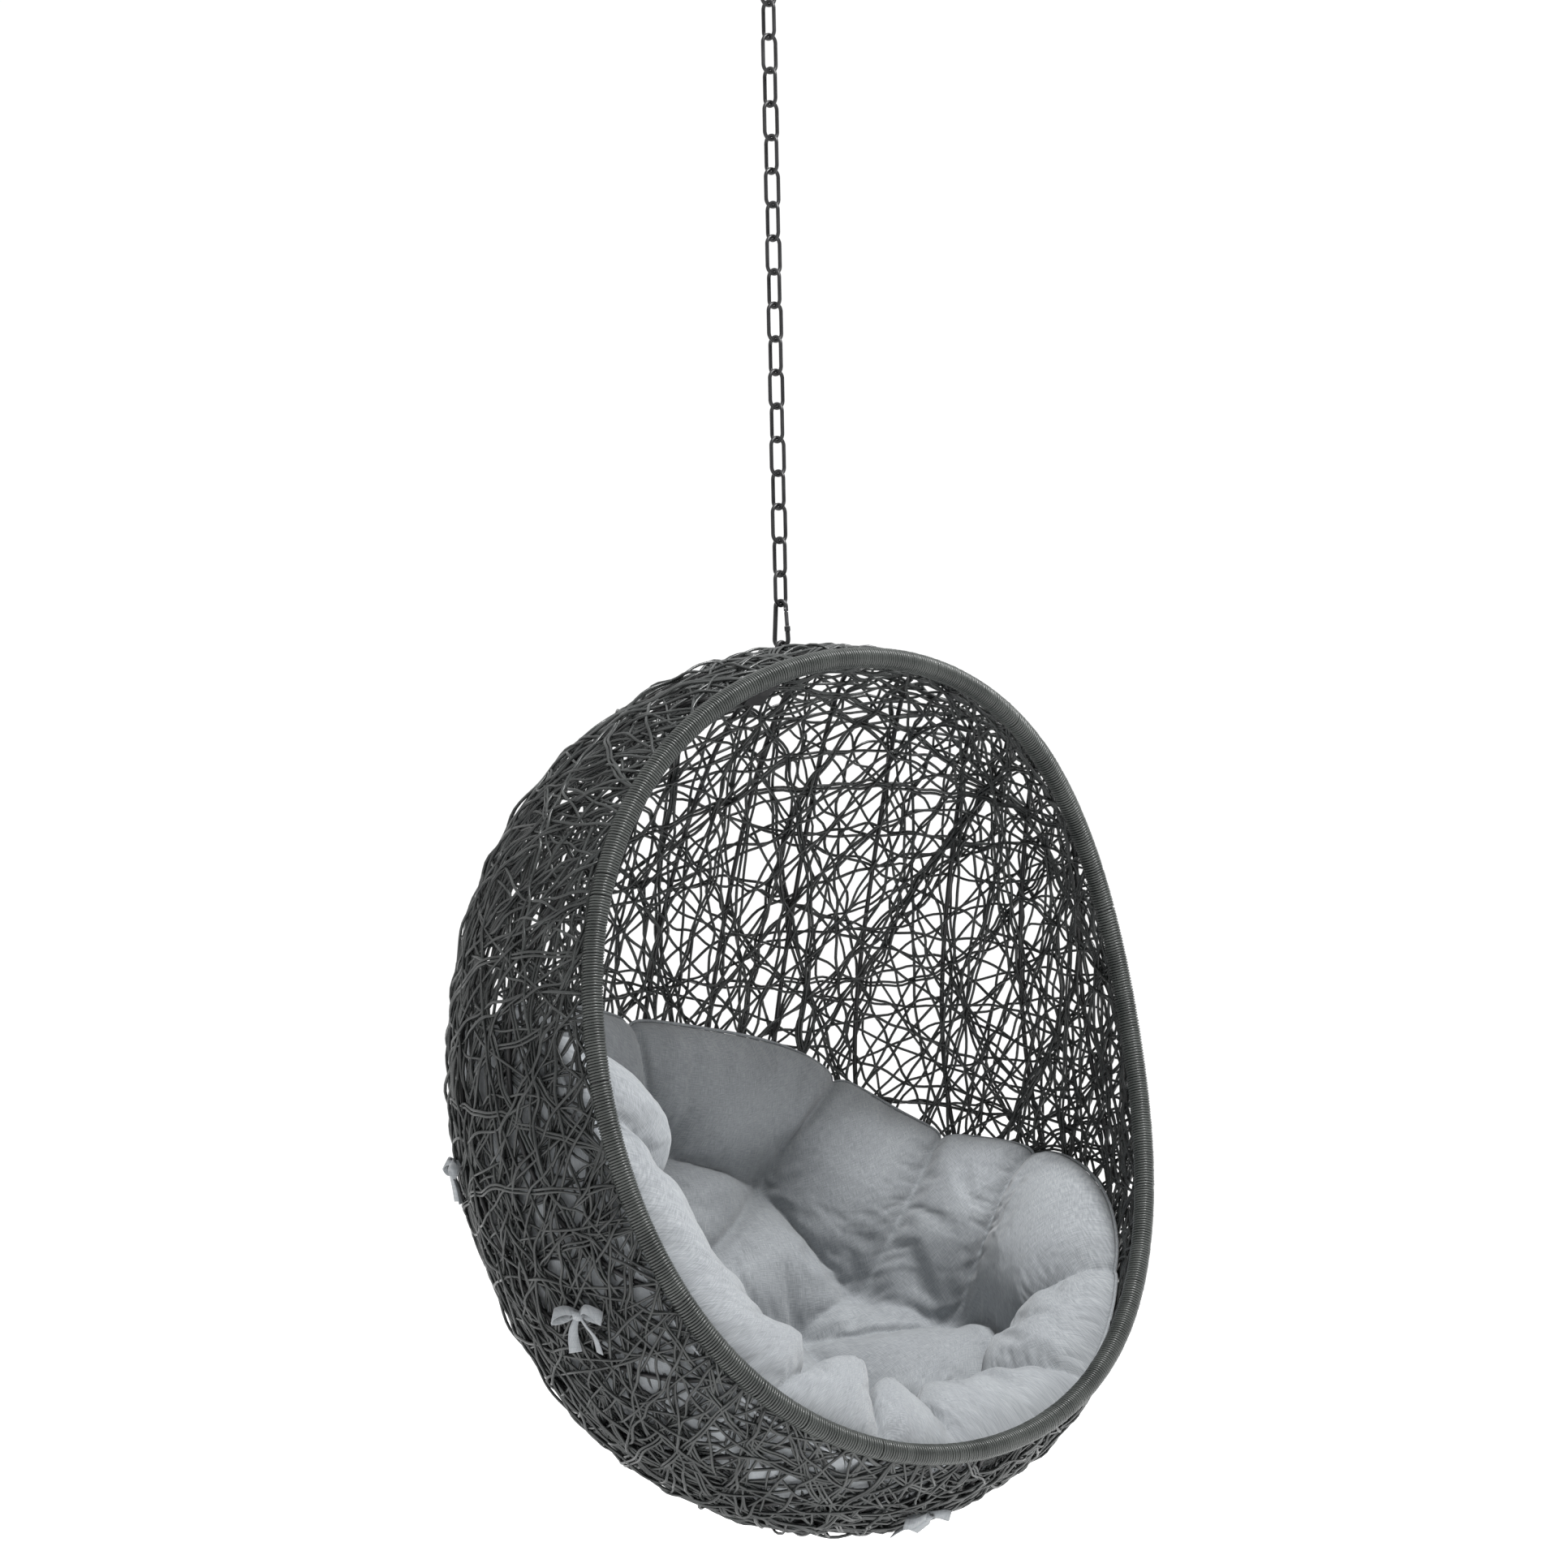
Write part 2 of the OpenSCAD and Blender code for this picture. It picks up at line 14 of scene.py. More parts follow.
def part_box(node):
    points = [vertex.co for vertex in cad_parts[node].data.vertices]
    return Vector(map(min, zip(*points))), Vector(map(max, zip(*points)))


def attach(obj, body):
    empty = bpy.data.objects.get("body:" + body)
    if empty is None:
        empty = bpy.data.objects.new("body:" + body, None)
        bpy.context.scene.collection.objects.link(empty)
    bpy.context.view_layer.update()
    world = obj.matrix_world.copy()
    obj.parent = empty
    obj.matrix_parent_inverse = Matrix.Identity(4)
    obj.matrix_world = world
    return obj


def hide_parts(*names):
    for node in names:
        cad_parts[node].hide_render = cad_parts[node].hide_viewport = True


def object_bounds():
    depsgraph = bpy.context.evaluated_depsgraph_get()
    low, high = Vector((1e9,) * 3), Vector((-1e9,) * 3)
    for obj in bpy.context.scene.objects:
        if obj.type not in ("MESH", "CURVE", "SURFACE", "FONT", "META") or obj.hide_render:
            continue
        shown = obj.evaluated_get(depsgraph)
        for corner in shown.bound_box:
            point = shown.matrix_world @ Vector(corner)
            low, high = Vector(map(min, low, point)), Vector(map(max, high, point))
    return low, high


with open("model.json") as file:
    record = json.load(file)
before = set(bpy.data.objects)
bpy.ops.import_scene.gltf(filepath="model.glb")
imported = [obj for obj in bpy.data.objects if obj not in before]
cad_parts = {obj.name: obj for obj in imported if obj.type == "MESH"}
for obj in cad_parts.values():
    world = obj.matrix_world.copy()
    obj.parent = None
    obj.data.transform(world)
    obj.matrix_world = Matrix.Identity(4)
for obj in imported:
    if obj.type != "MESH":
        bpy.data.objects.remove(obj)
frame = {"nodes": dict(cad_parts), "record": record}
cad_low, cad_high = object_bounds()

# Basket and cushion, as the CAD model draws them
RIM_W = 0.890  # width and height of the rim's centreline
RIM_H = 0.990
RIM_LEAN = 0.20  # how far the rim leans back, for its height
RIM_BOW = 0.070  # how far its sides bow back
RIM_NOD = 0.020  # how far its top nods forward
RIM_FULLNESS = 0.13  # how much fuller than an ellipse it is
RIM_TUBE_R = 0.011
SHELL_DEPTH = 0.550
SHELL_BULGE = 0.18  # how much wider than the rim the shell grows behind it
SHELL_DROOP = 0.050
SHELL_PITCH = math.radians(13)  # how far the back hangs down
SHELL_FULLNESS = 2.1
CAP_START = 0.97  # depth from which the shell's normal turns evenly to the pole's
RIB_R = 0.0032
RIB_COUNT = 13
RIB_FAN = 0.9  # how far the ribs lie apart at the rim's own plane
WALL_START = 0.0245  # depth at which the ribs meet the rim
CUSHION_OFF = -0.0110  # from the shell to the cushion's back
CUSHION_T = 0.100
CUSHION_HEAP = 0.12  # how much thicker the cushion grows to the right, and to the front
CUSHION_FRONT_HEAP = 0.46
CUSHION_ASKEW = math.radians(12)
SEAT_BACK = math.radians(40)  # from straight down back to the seat's middle
FRONT_MARGIN = 0.06  # what the cushion leaves free behind the rim

# Cane
STRAND_R = 0.0020
STRAND_SIDES = 5
STRAND_STEP = 0.017
STRAND_START = 0.012  # depth at which a strand leaves the rim
MOST_STEPS = 400
FEWEST_STEPS = 9
TURN_KEPT = 0.85  # how much of its turn a strand keeps from step to step
SIDE_STARTS = 0.25  # share of the strands that start at the rim's sides
SIDE_OR_LOW_STARTS = 0.45  # and at its sides or bottom
STRAND_TRIES = 7
COVER_CELLS = 34  # cells across the map that counts where strands lie
LOW_DENSITY = 0.9  # how much denser than its top the weave is at the bottom, and at the sides
SIDE_DENSITY = 0.5
PAIRED_SHARE = 0.10  # share of the strands laid in pairs
PAIR_GAP = 0.0019  # half the gap of a pair, and how much it varies
PAIR_GAP_SWING = 0.0011
CANE_PITCH = 0.0036  # from turn to turn round the rim
CANE_HALF_WIDTH = 0.00162
CANE_HALF_HEIGHT = 0.0018
CANE_LIFT = 0.0008  # from the tube's face to the cane's middle
CANE_TURN_STEPS = 16
LOOSE_TURNS = 9
LOOSE_PITCH = 1.45

# The two layers of weave: metres of strand, how its course wanders, how far it lies from the shell where it
# passes inside and outside a rib (least, and most on top of that), and how rough its line is
INNER_LAYER = {"total": 245, "wander": 0.009, "inside": (0.0053, 0.0012), "outside": (0.0053, 0.0025),
               "rough": 0.0012}
OUTER_LAYER = {"total": 380, "wander": 0.016, "inside": (0.0050, 0.0004), "outside": (0.0056, 0.0042),
               "rough": 0.0026}

# Colours of each material: dark and light
BLACK_PAINT = ((0.007, 0.007, 0.008), (0.016, 0.016, 0.017))
RUBBED_PAINT = (0.07, 0.07, 0.073, 1)
ZINC = ((0.46, 0.47, 0.49), (0.66, 0.66, 0.65))
WOVEN_CANE = ((0.016, 0.018, 0.018), (0.048, 0.052, 0.051))
# The wound cane is the weave's charcoal cane painted lighter: a painted highlight for the light that
# catches the rim's turns
WOUND_CANE_WITH_PAINTED_HIGHLIGHT = ((0.030, 0.034, 0.032), (0.066, 0.072, 0.068))
CANVAS = ((0.215, 0.230, 0.243), (0.345, 0.362, 0.376))
FLOOR_WHITE = ((0.95, 0.95, 0.95), (0.97, 0.97, 0.97))

BLACK, STEEL, CANE, FABRIC = "black_metal", "bare_steel", "charcoal_cane", "grey_fabric"
PANEL_MAP, HOLD_GROUP = "panel", "hold"


# ---------------------------------------------------------------- basket shape
def unit(v):
    return v / np.maximum(np.linalg.norm(v, axis=-1, keepdims=True), 1e-12)


def rim_pt(t):
    """A point of the rim's centreline at angle t, from the rim's centre."""
    c, s = np.cos(t), np.sin(t)
    x = RIM_W / 2 * c * (1 + RIM_FULLNESS * s * s)
    y = RIM_LEAN * RIM_H / 2 * s - RIM_BOW * (s * s - 0.5) - RIM_NOD * s**3
    return np.stack([x, y, RIM_H / 2 * s], -1)


SHELL_AXIS = np.array([0, math.cos(SHELL_PITCH), -math.sin(SHELL_PITCH)])
SHELL_UP = np.array([0, math.sin(SHELL_PITCH), math.cos(SHELL_PITCH)])
POLE_NORMAL = unit(np.array([0, 1, -RIM_LEAN]))
NEAR_T, NEAR_W = 0.009, 0.004


def shell_pt(t, w):
    """A point of the shell at angle t round the rim and depth w, from the rim (0) to the back (1)."""
    bulge = 1 + SHELL_BULGE * np.sin(np.pi * w)
    ring = np.sqrt(np.maximum(1 - np.abs(w) ** SHELL_FULLNESS, 0)) * bulge
    w = np.asarray(w)[..., None]
    return ring[..., None] * rim_pt(t) + SHELL_DEPTH * w * SHELL_AXIS - SHELL_DROOP * w * SHELL_UP


def shell_normal(t, w):
    """The shell's outward normal; close to the back, where t says little, it turns evenly to the pole's."""
    v = np.minimum(w, CAP_START)
    across = shell_pt(t + NEAR_T, v) - shell_pt(t - NEAR_T, v)
    along = shell_pt(t, v + NEAR_W) - shell_pt(t, np.maximum(v - NEAR_W, 0))
    ring = np.sqrt((1 - w**SHELL_FULLNESS) / (1 - CAP_START**SHELL_FULLNESS))
    share = np.minimum(ring, 1)[..., None]
    return unit(share * unit(np.cross(along, across)) + (1 - share) * POLE_NORMAL)


def from_direction(u, off):
    """Points and outward normals over the shell, for directions u on the half-sphere behind the opening."""
    t, w = np.arctan2(u[..., 2], u[..., 0]), np.clip(u[..., 1], 0, 1)
    normal = shell_normal(t, w)
    return BASKET + shell_pt(t, w) + np.asarray(off)[..., None] * normal, normal


spigot_low, spigot_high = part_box("rim_spigot")
BASKET = np.array((spigot_low + spigot_high) / 2) - rim_pt(np.array(-np.pi / 2))


# ---------------------------------------------------------------- mesh helpers
def add_mesh(name, points, faces, smooth=True):
    mesh = bpy.data.meshes.new(name)
    mesh.from_pydata(np.asarray(points).tolist(), [], faces)
    if smooth:
        mesh.polygons.foreach_set("use_smooth", [True] * len(mesh.polygons))
    mesh.update()
    piece = bpy.data.objects.new(name, mesh)
    bpy.context.scene.collection.objects.link(piece)
    return piece


def tube_rings(path, ups, half_width, half_height, sides):
    """Rings of points round a path; ups point roughly away from the surface that the path lies on."""
    run = unit(np.gradient(path, axis=0))
    side = unit(np.cross(run, ups))
    up = np.cross(side, run)
    angle = 2 * np.pi * np.arange(sides) / sides
    a = np.reshape(half_width, (-1, 1, 1)) * np.cos(angle)[None, :, None] * side[:, None]
    b = np.reshape(half_height, (-1, 1, 1)) * np.sin(angle)[None, :, None] * up[:, None]
    return path[:, None] + a + b


def ring_faces(first, rings, sides):
    """Faces of a capped tube of rings of points, whose first point has the index first."""
    k = np.arange(rings - 1)[:, None] * sides + first
    i = np.arange(sides)[None, :]
    j = (i + 1) % sides
    quads = np.stack([k + i, k + j, k + sides + j, k + sides + i], -1).reshape(-1, 4).tolist()
    last = first + (rings - 1) * sides
    quads.append(list(range(first + sides - 1, first - 1, -1)))
    quads.append(list(range(last, last + sides)))
    return quads


def tubes(name, paths, sides):
    """One piece made of many tubes: each path is (points, ups, half width, half height)."""
    points, faces, first = [], [], 0
    for path, ups, half_width, half_height in paths:
        rings = tube_rings(path, ups, half_width, half_height, sides)
        points.append(rings.reshape(-1, 3))
        faces += ring_faces(first, len(path), sides)
        first += len(path) * sides
    return add_mesh(name, np.concatenate(points), faces)


def finish_piece(piece, body, material, slot_name, *replaced):
    """Gives a piece its material and body, and hides the CAD nodes that it stands for."""
    piece.data.materials.append(material)
    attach(piece, body)
    if replaced:
        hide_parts(*replaced)
    return piece


# ---------------------------------------------------------------- materials
def new_material(name, roughness, metallic=0.0):
    material = bpy.data.materials.new(name)
    material.use_nodes = True
    nodes, links = material.node_tree.nodes, material.node_tree.links
    shader = nodes["Principled BSDF"]
    shader.inputs["Roughness"].default_value = roughness
    shader.inputs["Metallic"].default_value = metallic
    place = nodes.new("ShaderNodeTexCoord").outputs["Object"]
    return material, nodes, links, shader, place


def noise(nodes, links, place, scale, detail, stretch=(1, 1, 1)):
    mapping = nodes.new("ShaderNodeMapping")
    mapping.inputs["Scale"].default_value = stretch
    links.new(place, mapping.inputs["Vector"])
    texture = nodes.new("ShaderNodeTexNoise")
    texture.inputs["Scale"].default_value = scale
    texture.inputs["Detail"].default_value = detail
    links.new(mapping.outputs["Vector"], texture.inputs["Vector"])
    return texture.outputs["Fac"]


def ramp(nodes, links, value, stops):
    node = nodes.new("ShaderNodeValToRGB")
    elements = node.color_ramp.elements
    while len(elements) < len(stops):
        elements.new(0.5)
    for element, (place, colour) in zip(elements, stops):
        element.position = place
        element.color = (*colour, 1)
    links.new(value, node.inputs["Fac"])
    return node.outputs["Color"]


def mix(nodes, links, share, a, b, blend="MIX"):
    node = nodes.new("ShaderNodeMix")
    node.data_type = "RGBA"
    node.blend_type = blend
    for socket, value in ((node.inputs["Factor"], share), (node.inputs["A"], a), (node.inputs["B"], b)):
        if hasattr(value, "is_output"):
            links.new(value, socket)
        else:
            socket.default_value = value
    return node.outputs["Result"]


def map_range(nodes, links, value, low, high, to_low, to_high):
    node = nodes.new("ShaderNodeMapRange")
    links.new(value, node.inputs["Value"])
    ends = (("From Min", low), ("From Max", high), ("To Min", to_low), ("To Max", to_high))
    for name, number in ends:
        node.inputs[name].default_value = number
    return node.outputs["Result"]


def bump(nodes, links, shader, height, distance, strength, under=None):
    node = nodes.new("ShaderNodeBump")
    node.inputs["Distance"].default_value = distance
    node.inputs["Strength"].default_value = strength
    links.new(height, node.inputs["Height"])
    if under is not None:
        links.new(under, node.inputs["Normal"])
    links.new(node.outputs["Normal"], shader.inputs["Normal"])
    return node.outputs["Normal"]


def cane_material(name, dark, light, roughness):
    """Extruded cane: patchy charcoal, finely grained, with a satin skin."""
    material, nodes, links, shader, place = new_material(name, roughness)
    patches = noise(nodes, links, place, scale=22, detail=4)
    grain = noise(nodes, links, place, scale=900, detail=2)
    base = ramp(nodes, links, patches, [(0.30, dark), (0.70, light)])
    lit = ramp(nodes, links, grain, [(0.35, (0.75, 0.75, 0.75)), (0.75, (1.25, 1.25, 1.25))])
    links.new(mix(nodes, links, 0.8, base, lit, "MULTIPLY"), shader.inputs["Base Color"])
    rough = map_range(nodes, links, grain, 0.3, 0.7, roughness - 0.08, roughness + 0.12)
    links.new(rough, shader.inputs["Roughness"])
    bump(nodes, links, shader, grain, distance=0.0003, strength=0.5)
    return material


def powder_coat_material(name, wear):
    """Black powder coat: fine orange peel, paler in patches, and rubbed grey along its edges by wear."""
    material, nodes, links, shader, place = new_material(name, roughness=0.42)
    peel = noise(nodes, links, place, scale=700, detail=2)
    patches = noise(nodes, links, place, scale=35, detail=4)
    paint = ramp(nodes, links, patches, [(0.35, BLACK_PAINT[0]), (0.75, BLACK_PAINT[1])])
    edges = nodes.new("ShaderNodeNewGeometry").outputs["Pointiness"]
    worn = nodes.new("ShaderNodeMath")
    worn.operation = "MULTIPLY"
    links.new(map_range(nodes, links, edges, 0.53, 0.62, 0, wear), worn.inputs[0])
    links.new(map_range(nodes, links, patches, 0.45, 0.65, 0, 1), worn.inputs[1])
    colour = mix(nodes, links, worn.outputs["Value"], paint, RUBBED_PAINT)
    links.new(colour, shader.inputs["Base Color"])
    links.new(map_range(nodes, links, patches, 0.3, 0.7, 0.36, 0.52), shader.inputs["Roughness"])
    bump(nodes, links, shader, peel, distance=0.0002, strength=0.6)
    return material


def zinc_material():
    """Zinc-plated steel: a dull shine with faint spangle and a brushed grain."""
    material, nodes, links, shader, place = new_material("zinc_steel", roughness=0.34, metallic=1.0)
    spangle = noise(nodes, links, place, scale=160, detail=3)
    brushed = noise(nodes, links, place, scale=220, detail=3, stretch=(1, 1, 12))
    tint = ramp(nodes, links, spangle, [(0.3, ZINC[0]), (0.7, ZINC[1])])
    links.new(tint, shader.inputs["Base Color"])
    links.new(map_range(nodes, links, brushed, 0.3, 0.7, 0.26, 0.46), shader.inputs["Roughness"])
    bump(nodes, links, shader, brushed, distance=0.0001, strength=0.4)
    return material


def fabric_material(name, dark, light, thread):
    """Heathered canvas: short pale and dark streaks in both thread directions over a plain weave."""
    material, nodes, links, shader, _ = new_material(name, roughness=0.88)
    flat = nodes.new("ShaderNodeUVMap")
    flat.uv_map = PANEL_MAP
    place = flat.outputs["UV"]
    narrow = 1 / thread * 0.012
    warp = noise(nodes, links, place, scale=130, detail=3, stretch=(narrow, 0.6, 1))
    weft = noise(nodes, links, place, scale=130, detail=3, stretch=(0.6, narrow, 1))
    cloudy = noise(nodes, links, place, scale=9, detail=4)
    streaks = mix(nodes, links, 0.5, warp, weft)
    base = ramp(nodes, links, streaks, [(0.40, dark), (0.62, light)])
    shade = ramp(nodes, links, cloudy, [(0.3, (0.93, 0.93, 0.94)), (0.7, (1.05, 1.05, 1.05))])
    links.new(mix(nodes, links, 1.0, base, shade, "MULTIPLY"), shader.inputs["Base Color"])
    shader.inputs["Sheen Weight"].default_value = 0.25
    shader.inputs["Sheen Roughness"].default_value = 0.5
    shader.inputs["Specular IOR Level"].default_value = 0.25
    waves = []
    for direction in ("X", "Y"):
        wave = nodes.new("ShaderNodeTexWave")
        wave.bands_direction = direction
        wave.inputs["Scale"].default_value = 0.314 / thread
        wave.inputs["Distortion"].default_value = 0.6
        links.new(place, wave.inputs["Vector"])
        waves.append(wave.outputs["Color"])
    weave = mix(nodes, links, 0.5, waves[0], waves[1])
    coarse = noise(nodes, links, place, scale=45, detail=5)
    lumps = bump(nodes, links, shader, coarse, distance=0.0012, strength=0.5)
    bump(nodes, links, shader, weave, distance=0.0003, strength=0.5, under=lumps)
    return material


def floor_material():
    """A pale matt floor, lit a little from within so that it meets the white background."""
    material, nodes, links, shader, place = new_material("pale_floor", roughness=0.9)
    speckle = noise(nodes, links, place, scale=3, detail=3)
    pale = ramp(nodes, links, speckle, [(0.3, FLOOR_WHITE[0]), (0.7, FLOOR_WHITE[1])])
    links.new(pale, shader.inputs["Base Color"])
    shader.inputs["Specular IOR Level"].default_value = 0.1
    shader.inputs["Emission Color"].default_value = (1, 1, 1, 1)
    shader.inputs["Emission Strength"].default_value = 0.30
    return material


# ---------------------------------------------------------------- ribs and weave
def rib_plane(k):
    """Rib k's plane: its x at depth 0, and how much x grows with depth."""
    lon = (k - (RIB_COUNT + 1) / 2) * np.pi / (RIB_COUNT + 1)
    x_top = RIB_FAN * np.sin(lon) ** 3
    return x_top, (np.sin(lon) - x_top) / np.cos(lon)


def rib_directions(k, steps):
    """Directions along rib k, evenly over its arc from the bottom of the rim to the top."""
    x_top, slant = rib_plane(k)
    q = math.sqrt(1 + slant * slant)
    d = x_top / q
    radius = math.sqrt(1 - d * d)
    span = math.acos((WALL_START * q + d * slant) / radius)
    a = np.linspace(-span, span, steps)
    x = d + radius * np.cos(a) * slant
    y = radius * np.cos(a) - d * slant
    return np.stack([x, y, q * radius * np.sin(a)], -1) / q


def make_ribs(material):
    steps, sides = 90, 10
    for k in range(1, RIB_COUNT + 1):
        path, normal = from_direction(rib_directions(k, steps), np.zeros(steps))
        piece = tubes(f"rib_bar_{k:02d}", [(path, normal, RIB_R, RIB_R)], sides)
        finish_piece(piece, "basket", material, BLACK, f"rib_{k:02d}")


def rib_place(u):
    """Where directions u lie between the ribs: 3.5 is halfway from rib 3 to rib 4."""
    planes = [rib_plane(k) for k in range(1, RIB_COUNT + 1)]
    beyond = np.stack([u[:, 0] - x_top - slant * u[:, 1] for x_top, slant in planes], 1)
    passed = (beyond > 0).sum(1)
    low = np.clip(passed - 1, 0, RIB_COUNT - 2)
    a = np.take_along_axis(beyond, low[:, None], 1)[:, 0]
    b = np.take_along_axis(beyond, low[:, None] + 1, 1)[:, 0]
    return np.clip(low + 1 + a / (a - b), 0, RIB_COUNT + 1)


def strand_start(rng):
    """Where on the rim a strand starts, and how much it heads along the rim, from -1 to 1."""
    kind = rng.random()
    t = rng.uniform(-np.pi, np.pi)
    aim = rng.uniform(-0.95, 0.95)
    if kind < SIDE_STARTS:
        t = rng.choice([0, np.pi]) + 0.5 * rng.normal()
    elif kind < SIDE_OR_LOW_STARTS:
        t = -np.pi / 2 + 0.9 * rng.normal()
        aim = rng.choice([-1, 1]) * rng.uniform(0.55, 0.97)
    return t, aim


def strand_walk(rng, wander):
    """Directions along one strand, from the rim across the bowl and back to the rim."""
    t, aim = strand_start(rng)
    u = np.array([math.cos(t), STRAND_START, math.sin(t)])
    along_rim = np.array([-math.sin(t), 0, math.cos(t)])
    heading = math.sqrt(1 - aim * aim) * np.array([0, 1.0, 0]) + aim * along_rim
    u = unit(u)
    heading = unit(heading - (heading @ u) * u)
    turn = 0.0
    walk = [u]
    ahead, aside = math.cos(STRAND_STEP), math.sin(STRAND_STEP)
    while len(walk) < MOST_STEPS:
        turn = TURN_KEPT * turn + wander * rng.normal()
        u, heading = ahead * u + aside * heading, ahead * heading - aside * u
        heading = unit(heading + turn * np.cross(u, heading))
        if u[1] < STRAND_START:
            break
        walk.append(u)
    return np.array(walk)


def wiggle(rng, count, wave_low, wave_high, size):
    """A smooth random swing at count points of a strand, made of waves of lengths between the two given."""
    shell_radius = 0.5
    s = np.arange(count) * STRAND_STEP * shell_radius
    total = np.zeros(count)
    for _ in range(3):
        wave = rng.uniform(wave_low, wave_high)
        total += np.sin(2 * np.pi * s / wave + rng.uniform(0, 2 * np.pi))
    return size * total / 1.7


def eased(x):
    """A share from 0 to 1, with both its ends slowed."""
    return x * x * (3 - 2 * x)


def over_under(rng, u, inside, outside):
    """Offset of a strand that passes over some ribs and under others, at random."""
    place = rib_place(u)
    sides = np.where(rng.random(RIB_COUNT + 3) < 0.5, inside, outside)
    low = place.astype(int)
    share = eased(place - low)
    return sides[low] * (1 - share) + sides[low + 1] * share


def thin_walk(rng, wander, cover):
    """Of a few strands, the one that runs where the fewest lie so far for the density wanted there."""
    best = None
    for _ in range(STRAND_TRIES):
        u = strand_walk(rng, wander)
        flat = u[:, [0, 2]] / np.sqrt(1 + u[:, 1:2])
        cell = ((flat * 0.5 + 0.5) * COVER_CELLS).astype(int)
        wanted = 1 + LOW_DENSITY * np.clip(-u[:, 2], 0, 1) + SIDE_DENSITY * (1 - u[:, 1]) ** 2
        crowd = ((cover[cell[:, 0], cell[:, 1]] + 0.5) / wanted).mean()
        if len(u) > FEWEST_STEPS and (best is None or crowd < best[0]):
            best = (crowd, u, cell)
    _, u, cell = best
    np.add.at(cover, (cell[:, 0], cell[:, 1]), 1)
    return u


def strand_set(rng, total, wander, inside, outside, rough):
    """One layer's strands, each (points, normals, half width, half height)."""
    paths = []
    length = 0.0
    cover = np.zeros((COVER_CELLS, COVER_CELLS))
    while length < total:
        u = thin_walk(rng, wander, cover)
        n = len(u)
        clear = np.clip((u[:, 1] - STRAND_START) / 0.05, 0, 1)  # 0 where the strand is bound in at the rim
        lift = rng.uniform(0.0, 1.0)
        off = over_under(rng, u, -inside[0] - lift * inside[1], outside[0] + lift * outside[1])
        off = (off + wiggle(rng, n, 0.05, 0.11, rough)) * clear
        base, normal = from_direction(u, off)
        across = np.cross(normal, unit(np.gradient(base, axis=0)))
        base = base + across * (wiggle(rng, n, 0.04, 0.10, rough) * clear)[:, None]
        radius = STRAND_R * rng.uniform(0.9, 1.1)
        copies = [0.0] if rng.random() > PAIRED_SHARE else [-1.0, 1.0]
        for sign in copies:
            gap = sign * (PAIR_GAP + np.abs(wiggle(rng, n, 0.10, 0.3, PAIR_GAP_SWING)))
            path = base + across * (gap * clear)[:, None] if sign else base
            paths.append((path, normal, radius, radius))
            length += np.linalg.norm(np.diff(path, axis=0), axis=1).sum()
    return paths


def make_weave(material):
    rng = np.random.default_rng(7)
    inner = tubes("woven_cane_inner", strand_set(rng, **INNER_LAYER), STRAND_SIDES)
    finish_piece(inner, "basket", material, CANE, "wicker_inner")
    outer = tubes("woven_cane_outer", strand_set(rng, **OUTER_LAYER), STRAND_SIDES)
    finish_piece(outer, "basket", material, CANE, "wicker_outer")


def rim_turns(rng):
    """Points along the rim's centreline, its direction there, and each point's turn of the cane."""
    t = np.linspace(-np.pi / 2, 1.5 * np.pi, 6001)
    centre = BASKET + rim_pt(t)
    reach = np.concatenate([[0], np.cumsum(np.linalg.norm(np.diff(centre, axis=0), axis=1))])
    turns = int(reach[-1] / CANE_PITCH)
    pitches = CANE_PITCH * (1 + 0.05 * rng.normal(size=turns))
    pitches[rng.choice(turns, LOOSE_TURNS, replace=False)] *= LOOSE_PITCH
    starts = np.concatenate([[0], np.cumsum(pitches)])
    starts *= reach[-1] / starts[-1]
    place = np.arange(turns * CANE_TURN_STEPS + 1) / CANE_TURN_STEPS
    s = np.interp(place, np.arange(turns + 1), starts)
    here = np.stack([np.interp(s, reach, centre[:, i]) for i in range(3)], -1)
    run = unit(np.stack([np.interp(s, reach, g) for g in np.gradient(centre, reach, axis=0).T], -1))
    return here, run, np.arange(len(s)) // CANE_TURN_STEPS


def make_rim_cane(material):
    """Cane wound tightly round the rim tube, with a looser turn here and there at a splice."""
    rng = np.random.default_rng(11)
    here, run, turn = rim_turns(rng)
    out = here - (BASKET + np.array([0, 0.15, 0]))
    side = unit(out - (out * run).sum(-1, keepdims=True) * run)
    up = np.cross(run, side)
    angle = 2 * np.pi * np.arange(len(here)) / CANE_TURN_STEPS
    radial = np.cos(angle)[:, None] * side + np.sin(angle)[:, None] * up
    sway = 0.0001 * np.sin(angle * 0.013) + 0.00012 * rng.normal(size=turn[-1] + 1)[turn]
    path = here + (RIM_TUBE_R + CANE_LIFT + sway)[:, None] * radial
    piece = tubes("rim_cane", [(path, radial, CANE_HALF_WIDTH, CANE_HALF_HEIGHT)], 6)
    finish_piece(piece, "basket", material, CANE, "rim_wrap")


# ---------------------------------------------------------------- cushion
def askew(v):
    c, s = math.cos(CUSHION_ASKEW), math.sin(CUSHION_ASKEW)
    return np.array([c * v[0] + s * v[2], v[1], c * v[2] - s * v[0]])


SEAT_DIR = askew([0, math.sin(SEAT_BACK), -math.cos(SEAT_BACK)])
SEAT_RIGHT = askew([1, 0, 0])
SEAT_UP = askew([0, math.cos(SEAT_BACK), math.sin(SEAT_BACK)])
PAD_RADIUS = 0.6  # of the flat pattern
PAD_GRID = 171  # points along a side of the cover's grid
PLUMPNESS = 0.20  # how much further the cover rises away from its creases
ROLL_HEAP = 0.80  # how much thicker the front roll is, and how far it reaches and leans forward
ROLL_REACH = 0.018
ROLL_LEAN = 0.62
WELT_R = 0.0022
CLOTH_FRAMES = 20
CLOTH_PRESSURE = 4.0
CLOTH_EASE = 0.05  # how much the cloth's rest shape is larger than the sheet
CLOTH_MOST = 0.022  # furthest that the stuffing presses a point out
TUFT_HOLD = 0.012  # round each tuft the cover is held, and along the creases half held
